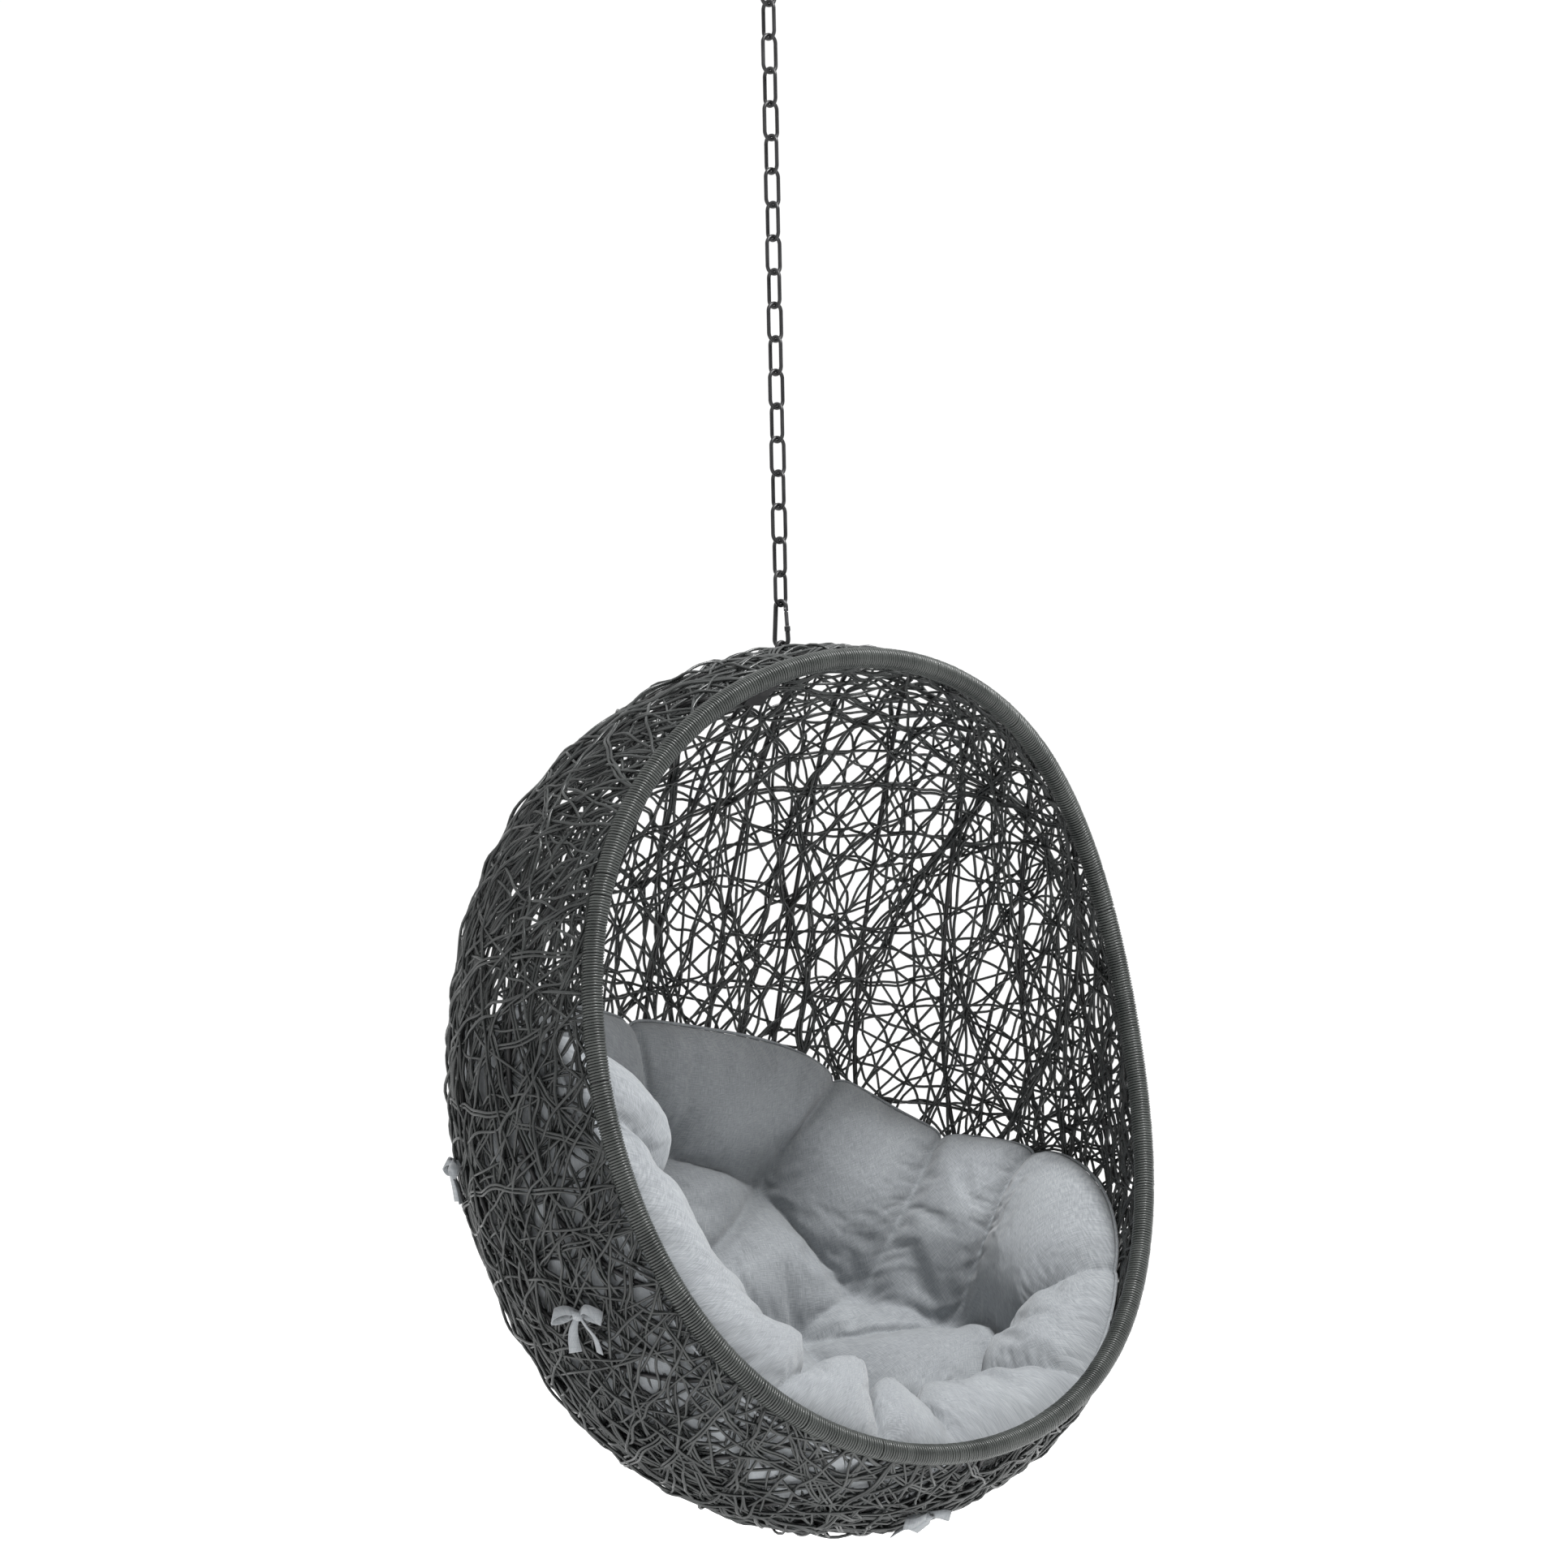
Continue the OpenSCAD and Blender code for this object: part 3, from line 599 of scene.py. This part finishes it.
CREASE_HOLD = 0.005

# Tufts of the cushion: angle in degrees about the seat's middle, share of the way out, and depth. The first
# RING of them go round the pad. A crease runs out to the edge from each of those but one, where the roll is
# whole, and EDGE_TURNS says how many degrees it turns on its way. INNER_LINKS are the other creases.
TUFTS = [
    (91, 0.74, 0.80), (62, 0.72, 0.95), (37, 0.60, 0.95), (19, 0.61, 0.90), (354, 0.66, 0.80),
    (328, 0.64, 0.85), (298, 0.62, 0.85), (266, 0.62, 0.85), (237, 0.60, 0.85), (212, 0.60, 0.70),
    (187, 0.66, 0.85), (148, 0.72, 0.85), (118, 0.74, 0.80), (46, 0.42, 0.60), (100, 0.36, 0.8),
    (170, 0.32, 0.8), (240, 0.30, 0.8), (310, 0.32, 0.8),
]
RING = 13
WHOLE_ROLL_TUFT = 9
EDGE_TURNS = [8, -7, -1, 2, -4, 3, -3, 2, -4, 3, -2, 4, -3]
INNER_LINKS = [
    (1, 14), (2, 13), (3, 13), (0, 14), (5, 17), (6, 17), (7, 16), (8, 16), (9, 15), (10, 15),
    (11, 15), (12, 14), (4, 17), (13, 14), (14, 15), (15, 16), (16, 17), (17, 13),
]

# Creases, as depth and width: round the ring, out to the edge, and across
FRONT_RING_CREASE, BACK_RING_CREASE = (0.72, 0.026), (0.56, 0.020)
FRONT_EDGE_CREASE, BACK_EDGE_CREASE = (0.34, 0.018), (0.50, 0.018)
INNER_CREASE = (0.52, 0.020)
CREASE_BOW = 0.010
TUFT_SPREAD = 0.040


def flat_place(angle, share):
    """A place on the flat pattern, from its angle in degrees and its share of the way out."""
    a = math.radians(angle)
    return PAD_RADIUS * share * np.array([math.cos(a), math.sin(a)])


def crease_lines():
    """The tufts' places on the flat pattern, and the creases as (start, end, depth, width)."""
    places = [flat_place(a, s) for a, s, _ in TUFTS]
    lines = []
    for i in range(RING):
        angle, _, _ = TUFTS[i]
        at_front = 120 < angle < 325
        ring_crease = FRONT_RING_CREASE if at_front else BACK_RING_CREASE
        edge_crease = FRONT_EDGE_CREASE if at_front else BACK_EDGE_CREASE
        lines.append((places[i], places[(i + 1) % RING], *ring_crease))
        if i != WHOLE_ROLL_TUFT:
            lines.append((places[i], flat_place(angle + EDGE_TURNS[i], 1.02), *edge_crease))
    for i, j in INNER_LINKS:
        lines.append((places[i], places[j], *INNER_CREASE))
    return places, lines


def line_distance(q, a, b):
    """Distance from points q to the segment ab, and how far along it they are."""
    ab = b - a
    share = np.clip(((q - a) @ ab) / (ab @ ab), 0, 1)
    return np.linalg.norm(q - a - share[..., None] * ab, axis=-1), share


def crease_depth(q):
    """How far the cover is drawn down at flat places q, from 0 to 1, and how near the creases are."""
    places, lines = crease_lines()
    left = np.ones(q.shape[:-1])
    nearest = np.full(q.shape[:-1], 1.0)
    for k, (a, b, depth, width) in enumerate(lines):
        d, share = line_distance(q, a, b)
        ab = b - a
        side = np.sign((q - a)[..., 0] * ab[1] - (q - a)[..., 1] * ab[0])
        bow = CREASE_BOW * math.sin(2.4 * k) * np.sin(np.pi * share)
        d = np.abs(d * side + bow)
        ends = 0.70 + 0.30 * np.abs(2 * share - 1)
        left *= 1 - depth * ends * (0.45 * np.exp(-d / 0.006) + 0.55 * np.exp(-d / (1.5 * width)))
        nearest = np.minimum(nearest, d)
    for (_, _, depth), place in zip(TUFTS, places):
        d = np.linalg.norm(q - place, axis=-1)
        left *= 1 - depth * np.exp(-d / TUFT_SPREAD)
    return 1 - left, nearest


def tuft_distance(q):
    """Distance from flat places q to the nearest tuft."""
    places, _ = crease_lines()
    return np.min([np.linalg.norm(q - place, axis=-1) for place in places], axis=0)


def pucker(q, share, angle, rng):
    """Small folds: fanned out from each tuft, and across the seam at the edge."""
    places, _ = crease_lines()
    total = np.zeros(q.shape[:-1])
    for (_, _, depth), place in zip(TUFTS, places):
        v = q - place
        d = np.linalg.norm(v, axis=-1)
        turn = np.arctan2(v[..., 1], v[..., 0])
        folds = rng.integers(6, 10)
        wave = np.sin(folds * turn + rng.uniform(0, 6))
        wave = wave + 0.5 * np.sin((folds + 5) * turn + rng.uniform(0, 6))
        total += 0.0025 * depth * wave * np.exp(-d / 0.045) * np.clip(d / 0.02, 0, 1)
    edge = np.clip((share - 0.70) / 0.27, 0, 1) ** 1.5
    for folds in (17, 29, 43, 61):
        drift = rng.uniform(0, 6)
        total += 0.0012 * edge * np.sin(folds * angle + drift + 2.0 * np.sin(3 * angle + drift))
    return total


def edge_swell(a, at, width, height):
    """A swell of the cushion's edge round the angle at; all in degrees but a."""
    away = (np.degrees(a) - at + 180) % 360 - 180
    return height * np.exp(-((away / width) ** 2))


def pad_limit(a):
    """How far the cushion reaches from the seat's middle at angle a, which is at most up to the rim."""
    swell = edge_swell(a, 38, 20, -7) + edge_swell(a, 140, 15, -4) + edge_swell(a, 183, 14, 9)
    free = 71 + 2 * np.cos(a) + 6 * np.sin(a) + 6 * np.cos(2 * a) + swell
    ey, ay = np.sin(a) * math.cos(SEAT_BACK), math.sin(SEAT_BACK)
    rim = np.degrees(np.arctan2(ey, ay) + np.arccos(FRONT_MARGIN / np.hypot(ay, ey)))
    return np.radians((free**-10 + rim**-10) ** -0.1)


def pad_direction(share, a):
    """The direction of the place at angle a round the seat's middle and a share of the way out."""
    theta = (share * pad_limit(a))[..., None]
    across = np.cos(a)[..., None] * SEAT_RIGHT + np.sin(a)[..., None] * SEAT_UP
    return np.cos(theta) * SEAT_DIR + np.sin(theta) * across


def roll_share(u, a):
    """How much of the front roll there is in direction u: all of it at the left front, none at the back."""
    depth = np.clip((0.66 - u[..., 1]) / 0.42, 0, 1)
    turn = np.degrees(a) % 360
    left = np.clip((turn - 95) / 40, 0, 1) * np.clip((345 - turn) / 90, 0, 1)
    return eased(depth) * left


def pad_surface(share, a, top, rng):
    """Points of the cover's top or underside over a grid of shares and angles, and their flat places."""
    q = PAD_RADIUS * share[..., None] * np.stack([np.cos(a), np.sin(a)], -1)
    drawn, nearest = crease_depth(q)
    edge = np.clip((share - 0.8) / 0.2, 0, 1)
    u = pad_direction(share * (1 - 0.050 * edge * drawn), a)
    roll = roll_share(u, a)
    rise = np.zeros(share.shape)
    if top:
        heap = 1 + CUSHION_HEAP * u[..., 0] + CUSHION_FRONT_HEAP * (0.5 - u[..., 1]) + ROLL_HEAP * roll
        plump = 1 + PLUMPNESS * (1 - np.exp(-nearest / 0.045)) * (1 - edge)
        round_off = np.sqrt(np.maximum(1 - share**9, 0))
        rise = CUSHION_T * heap * round_off * plump * (1 - drawn)
        rise = rise + pucker(q, share, a, rng) * np.minimum(round_off * 3, 1)
    points = from_direction(u, CUSHION_OFF - rise)[0]
    points[..., 1] -= roll * (ROLL_REACH + ROLL_LEAN * rise)
    return points, q


def pad_grid(n):
    """Shares and angles over the pad: an n x n grid whose square rings are drawn out to circles."""
    x, y = np.meshgrid(np.linspace(-1, 1, n), np.linspace(-1, 1, n), indexing="ij")
    wide = np.abs(x) >= np.abs(y)
    far, near = np.where(wide, x, y), np.where(wide, y, x)
    turn = np.pi / 4 * near / np.where(far == 0, 1, far)
    a = np.where(wide, turn, np.pi / 2 - turn) + np.where(far < 0, np.pi, 0)
    s = np.abs(far)
    return 0.55 * s + 0.45 * np.sin(np.pi / 2 * s), a


def grid_faces(ids):
    """Quads between the points of a grid of indices."""
    return np.stack([ids[:-1, :-1], ids[1:, :-1], ids[1:, 1:], ids[:-1, 1:]], -1).reshape(-1, 4)


def set_up_cloth(sheet):
    """A light, springy cloth under even pressure, held by the sheet's vertex group."""
    cloth = sheet.modifiers.new("cloth", "CLOTH")
    cloth.point_cache.frame_start, cloth.point_cache.frame_end = 1, CLOTH_FRAMES
    pull = cloth.settings
    pull.quality = 6
    pull.mass = 0.0012
    pull.tension_stiffness = pull.compression_stiffness = 6
    pull.shear_stiffness = 2
    pull.bending_stiffness = 0.02
    pull.air_damping = 1
    pull.use_pressure = True
    pull.uniform_pressure_force = CLOTH_PRESSURE
    pull.shrink_min = -CLOTH_EASE
    pull.vertex_group_mass = HOLD_GROUP
    pull.effector_weights.gravity = 0
    cloth.collision_settings.use_collision = False


def inflated(points, faces, hold, most):
    """Where a sheet's points go as stuffing presses it out; hold says how fixed each is, from 0 to 1."""
    sheet = add_mesh("stuffed_sheet", points, faces.tolist())
    group = sheet.vertex_groups.new(name=HOLD_GROUP)
    for level in np.unique(hold[hold > 0]):
        group.add(np.flatnonzero(hold == level).tolist(), float(level), "REPLACE")
    set_up_cloth(sheet)
    scene = bpy.context.scene
    for number in range(1, CLOTH_FRAMES + 1):
        scene.frame_set(number)
    posed = sheet.evaluated_get(bpy.context.evaluated_depsgraph_get()).data
    moved = np.empty(len(points) * 3)
    posed.vertices.foreach_get("co", moved)
    step = moved.reshape(-1, 3) - points
    length = np.maximum(np.linalg.norm(step, axis=-1, keepdims=True), 1e-9)
    mesh = sheet.data
    bpy.data.objects.remove(sheet)
    bpy.data.meshes.remove(mesh)
    scene.frame_set(1)
    return points + step * (most * np.tanh(length / most) / length)


def make_cushion(material):
    """The tufted cushion: a top pressed out by its stuffing and a plain underside, joined at the seam."""
    rng = np.random.default_rng(5)
    share, a = pad_grid(PAD_GRID)
    top, flat = pad_surface(share, a, True, rng)
    under, _ = pad_surface(share, a, False, rng)
    count = PAD_GRID**2
    ids = np.arange(count).reshape(PAD_GRID, PAD_GRID)
    border = share.ravel() > 1 - 1e-6
    top, under, flat = top.reshape(-1, 3), under.reshape(-1, 3), flat.reshape(-1, 2)
    _, nearest = crease_depth(flat)
    hold = np.where(nearest < CREASE_HOLD, 0.5, 0.0)
    hold[(tuft_distance(flat) < TUFT_HOLD) | border] = 1.0
    top = inflated(top, grid_faces(ids), hold, CLOTH_MOST)
    under_ids = np.where(border, np.arange(count), count - 1 + np.cumsum(~border)).reshape(ids.shape)
    faces = np.concatenate([grid_faces(ids), grid_faces(under_ids)[:, ::-1]])
    cushion = add_mesh("seat_cushion", np.concatenate([top, under[~border]]), faces.tolist())
    add_panel_map(cushion, np.concatenate([flat, flat[~border]]))
    finish_piece(cushion, "basket", material, FABRIC, "cushion_cover", "cushion_fill", "cushion_tufts")
    smooth = cushion.modifiers.new("smooth", "SUBSURF")
    smooth.levels = smooth.render_levels = 1
    make_welt(top[border][np.argsort(a.ravel()[border])], material)


def make_welt(seam, material):
    """The piping round the cushion's seam."""
    closed = np.concatenate([seam, seam[:2]])
    ups = unit(closed - (BASKET + np.array([0, 0.1, 0])))
    welt = tubes("cushion_welt", [(closed, ups, WELT_R, WELT_R)], 8)
    add_panel_map(welt, np.array([v.co[:2] for v in welt.data.vertices]))
    finish_piece(welt, "basket", material, FABRIC)


def add_panel_map(piece, panel):
    """Gives each point of a piece its place on the flat cloth, in metres, for the weave's threads."""
    layer = piece.data.uv_layers.new(name=PANEL_MAP)
    corner = np.empty(len(piece.data.loops), int)
    piece.data.loops.foreach_get("vertex_index", corner)
    layer.data.foreach_set("uv", np.asarray(panel, float)[corner].ravel())


# ---------------------------------------------------------------- ties
TIE_DIRECTIONS = [
    (-0.86, 0.51, -0.06), (-0.86, 0.21, -0.47), (0.03, 0.20, -0.98),
    (0.80, 0.55, -0.26), (0.62, 0.42, -0.66),
]
TIE_OFF = 0.0105
TIE_CLOTH_T = 0.0012
KNOT_T = 0.003

# Half a bow: its loop and its tail as places to the side, down and out from the knot (the tail's first as a
# share of its spread), the knot, and the cloth's half-widths
BOW_LOOP = [(0.014, -0.006, 0.007), (0.030, -0.002, 0.010), (0.036, 0.006, 0.006), (0.026, 0.007, 0.002)]
BOW_TAIL = [(0.5, 0.014, 0.006), (0.9, 0.030, 0.004), (1, 0.050, 0.003)]
KNOT_RING = [(-0.006, 0, 0.001), (-0.004, -0.001, 0.007), (0.004, 0.001, 0.007), (0.006, 0, 0.001)]
TIE_NARROW, TIE_WIDE, LOOP_SWELL, KNOT_WIDE = 0.0035, 0.0080, 0.0045, 0.0055


def curve_through(points, steps):
    """A smooth line through a few points, by repeated Catmull-Rom spans."""
    p = np.array([points[0], *points, points[-1]], float)
    line = []
    for i in range(1, len(p) - 2):
        for s in np.linspace(0, 1, steps, endpoint=False):
            a, b, c, d = p[i - 1], p[i], p[i + 1], p[i + 2]
            line.append(0.5 * (2 * b + (c - a) * s + (2 * a - 5 * b + 4 * c - d) * s**2
                               + (3 * b - a - 3 * c + d) * s**3))
    line.append(p[-2])
    return np.array(line)


def ribbon(points, faces, line, wide, thickness=TIE_CLOTH_T):
    """Adds a folded strip along a line; wide holds the half-width vectors."""
    run = unit(np.gradient(line, axis=0))
    flat = unit(np.cross(run, wide)) * thickness / 2
    rings = np.stack([line - wide - flat, line + wide - flat, line + wide + flat, line - wide + flat], 1)
    first = sum(len(p) for p in points)
    points.append(rings.reshape(-1, 3))
    faces += ring_faces(first, len(line), 4)


def make_tie(name, direction, seed, material):
    """A small knotted bow on the outside of the weave, with two loops and two tails."""
    rng = np.random.default_rng(seed)
    u = unit(np.array(direction))
    places, normals = from_direction(u[None], np.array([TIE_OFF]))
    place, normal = places[0], normals[0]
    down = np.array([0, 0, -1.0])
    down = unit(down - (down @ normal) * normal + 1e-6)
    side = np.cross(normal, down)

    def at(x, d, n):
        return place + side * x + down * d + normal * n

    points, faces = [], []
    for sign in (-1, 1):
        tilt = rng.uniform(-0.004, 0.006)
        out = [at(sign * x, d + tilt, n) for x, d, n in BOW_LOOP]
        back = [at(sign * 0.010, 0.002, 0.001), at(0, 0, 0.001)]
        loop = curve_through([at(0, 0, 0.002), *out, *back], 6)
        grow = TIE_NARROW + LOOP_SWELL * np.sin(np.linspace(0, np.pi, len(loop)))
        ribbon(points, faces, loop, (down * 0.8 + normal * 0.6)[None] * grow[:, None])
        spread = rng.uniform(0.012, 0.026)
        fall = [at(sign * spread * x, d, n) for x, d, n in BOW_TAIL]
        tail = curve_through([at(0, 0, 0.003), *fall], 6)
        grow = np.linspace(TIE_NARROW, TIE_WIDE, len(tail))
        ribbon(points, faces, tail, unit(side * 0.9 + normal * 0.5 * sign)[None] * grow[:, None])
    ring = curve_through([at(x, d, n) for x, d, n in KNOT_RING], 5)
    ribbon(points, faces, ring, np.repeat((down * KNOT_WIDE)[None], len(ring), 0), KNOT_T)
    points = np.concatenate(points)
    tie = add_mesh(name, points, faces)
    knot = at(0, 0, 0.003)
    add_panel_map(tie, points[:, [0, 2]] - knot[[0, 2]])
    return finish_piece(tie, "basket", material, FABRIC)


def make_ties(material):
    for i, direction in enumerate(TIE_DIRECTIONS, 1):
        tie = make_tie(f"cushion_tie_{i}", direction, 20 + i, material)
        if i == 1:
            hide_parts("cushion_ties")


# ---------------------------------------------------------------- CAD nodes
def finish_cad_nodes(coat, worn_coat, zinc):
    """Materials and sharp edges for the steel fittings, which are shown as the CAD nodes."""
    slots = {part["node"]: part["material_slot"] for part in frame["record"]["subparts"]}
    for name, node in frame["nodes"].items():
        material = zinc if slots.get(name) == STEEL else coat
        if name.startswith(("chain_link", "upper_hook", "lower_hook", "hanging_eye")) and material is coat:
            material = worn_coat
        node.data.materials.clear()
        node.data.materials.append(material)
        node.data.polygons.foreach_set("use_smooth", [True] * len(node.data.polygons))
        node.data.set_sharp_from_angle(angle=math.radians(38))


# ---------------------------------------------------------------- stage
CAMERA_HEADING = math.radians(40)  # to the right of +Y
CAMERA_ROLL = math.radians(1.18)
CAMERA_BACK, CAMERA_LEFT, CAMERA_UP = 6.0, 0.1328, 0.3374  # from the middle of the rim
CAMERA_LENS, CAMERA_SENSOR = 109.6, 36
KEY_PLACE, KEY_SIZE, KEY_ENERGY = (0.3, -1.9, 3.8), 1.0, 270
FRONT_SKY, BACK_SKY = 0.30, 1.03
FLOOR_DROP, FLOOR_HALF = 0.30, 9.0


def make_camera():
    heading, roll = CAMERA_HEADING, CAMERA_ROLL
    forward = Vector((math.sin(heading), math.cos(heading), 0))
    level = Vector((math.cos(heading), -math.sin(heading), 0))
    high = Vector((0, 0, 1))
    right = math.cos(roll) * level - math.sin(roll) * high
    up = math.cos(roll) * high + math.sin(roll) * level
    place = Vector(BASKET) - CAMERA_BACK * forward - CAMERA_LEFT * level + CAMERA_UP * high
    data = bpy.data.cameras.new("camera")
    data.lens = CAMERA_LENS
    data.sensor_width = CAMERA_SENSOR
    camera = bpy.data.objects.new("camera", data)
    bpy.context.scene.collection.objects.link(camera)
    turn = Matrix((right, up, -forward)).transposed().to_4x4()
    camera.matrix_world = Matrix.Translation(place) @ turn
    bpy.context.scene.camera = camera


def make_key_light():
    """One soft light from above and in front of the basket, turned towards its lower half."""
    data = bpy.data.lights.new("key", "AREA")
    data.shape = "SQUARE"
    data.size = KEY_SIZE
    data.energy = KEY_ENERGY
    light = bpy.data.objects.new("key", data)
    bpy.context.scene.collection.objects.link(light)
    light.location = Vector(BASKET) + Vector(KEY_PLACE)
    aim = Vector(BASKET) + Vector((0, 0, -0.15)) - light.location
    light.rotation_euler = aim.to_track_quat("-Z", "Y").to_euler()


def make_world():
    """A white sky that is dimmer on the camera's side than behind the chair."""
    world = bpy.data.worlds.new("studio")
    world.use_nodes = True
    nodes, links = world.node_tree.nodes, world.node_tree.links
    axes = nodes.new("ShaderNodeSeparateXYZ")
    links.new(nodes.new("ShaderNodeTexCoord").outputs["Generated"], axes.inputs["Vector"])
    brightness = map_range(nodes, links, axes.outputs["Y"], -0.75, 0.15, FRONT_SKY, BACK_SKY)
    links.new(brightness, nodes["Background"].inputs["Strength"])
    nodes["Background"].inputs["Color"].default_value = (1, 1, 1, 1)
    bpy.context.scene.world = world
    bpy.context.scene.view_settings.view_transform = "Standard"


def make_floor():
    level, half = cad_low.z - FLOOR_DROP, FLOOR_HALF
    corners = [(-half, -half, level), (half, -half, level), (half, half, level), (-half, half, level)]
    floor = add_mesh("floor", corners, [[0, 1, 2, 3]], smooth=False)
    floor.data.materials.append(floor_material())


make_camera()
make_world()
make_key_light()
make_floor()
coat = powder_coat_material("powder_coat", wear=0.25)
worn_coat = powder_coat_material("worn_powder_coat", wear=0.8)
finish_cad_nodes(coat, worn_coat, zinc_material())
make_ribs(coat)
make_weave(cane_material("woven_cane", *WOVEN_CANE, roughness=0.30))
# The rim's cane gets the lighter colours, a painted highlight on the same cane as the weave
make_rim_cane(cane_material("wound_cane_with_painted_highlight", *WOUND_CANE_WITH_PAINTED_HIGHLIGHT, roughness=0.32))
make_cushion(fabric_material("cushion_canvas", *CANVAS, thread=0.0012))
make_ties(fabric_material("tie_canvas", *CANVAS, thread=0.0009))
